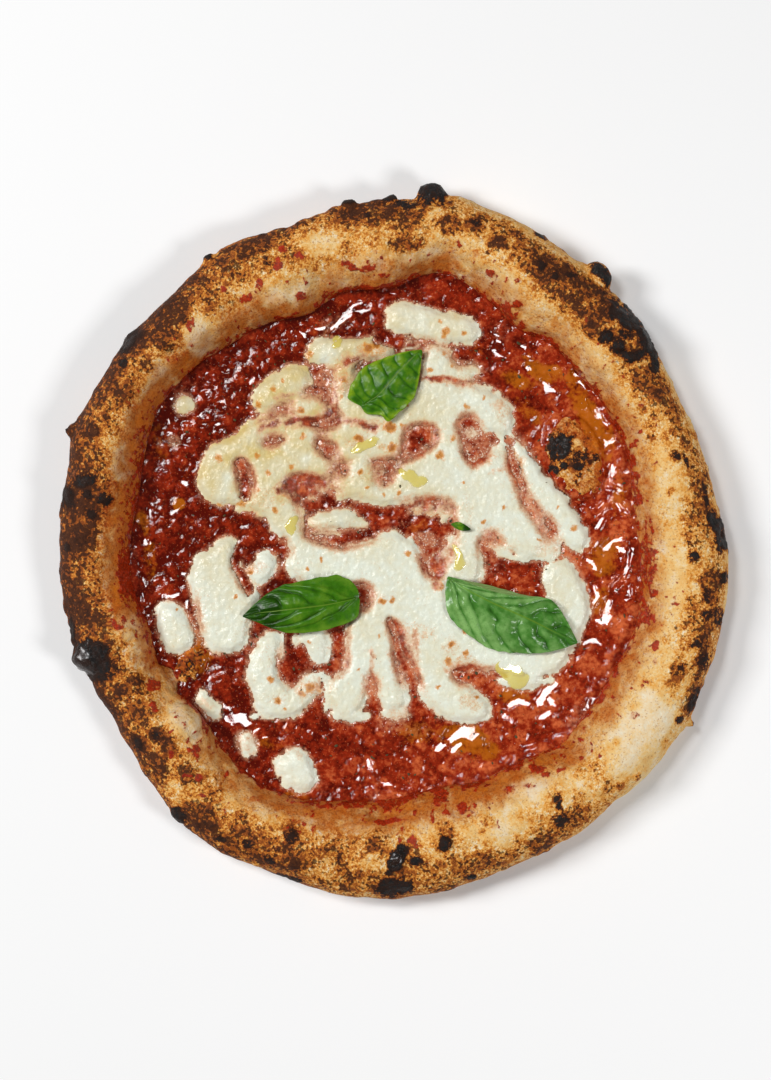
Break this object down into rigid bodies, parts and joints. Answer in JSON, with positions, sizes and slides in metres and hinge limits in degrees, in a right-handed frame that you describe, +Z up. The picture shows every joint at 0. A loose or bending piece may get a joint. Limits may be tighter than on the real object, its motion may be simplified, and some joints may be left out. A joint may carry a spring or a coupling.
{
  "type": "margherita pizza",
  "caption": "Whole uncut pizza in the Neapolitan style: tall puffy spotted rim, tomato sauce, melted mozzarella, basil leaves and pools of olive oil.",
  "frame": {"origin": "centre of the bounding box of the outline, on the plane the pizza rests on", "axes": "+Z up out of the toppings, +Y towards the top of the picture, which is the longer way across, +X to the right of the picture"},
  "size_m": [0.3086, 0.3292, 0.0296],
  "materials": {
    "crust": "baked dough, cream to brown with black spots, matt with a faint oily sheen",
    "tomato_sauce": "wet crushed tomato, glossy and lumpy",
    "mozzarella": "melted cheese, ivory, soft sheen, translucent at thin edges",
    "olive_oil": "clear yellow oil, mirror-wet",
    "basil": "fresh leaf, waxy, lighter at the margins"
  },
  "bodies": {
    "root": {"crust": "crust", "tomato_sauce": "tomato_sauce", "mozzarella_main": "mozzarella", "mozzarella_top": "mozzarella", "mozzarella_upper_left": "mozzarella", "mozzarella_upper_middle": "mozzarella", "mozzarella_centre_tongue": "mozzarella", "mozzarella_left": "mozzarella", "mozzarella_left_drop": "mozzarella", "mozzarella_far_left": "mozzarella", "mozzarella_hook": "mozzarella", "mozzarella_bottom": "mozzarella", "mozzarella_bottom_streak": "mozzarella", "mozzarella_bottom_drop": "mozzarella", "mozzarella_left_bead": "mozzarella", "olive_oil_right": "olive_oil", "olive_oil_drip": "olive_oil", "olive_oil_centre": "olive_oil", "olive_oil_upper_middle": "olive_oil", "olive_oil_top": "olive_oil", "olive_oil_left": "olive_oil", "basil_leaf_top": "basil", "basil_leaf_left": "basil", "basil_leaf_right": "basil", "basil_scrap": "basil"}
  },
  "joints": []
}
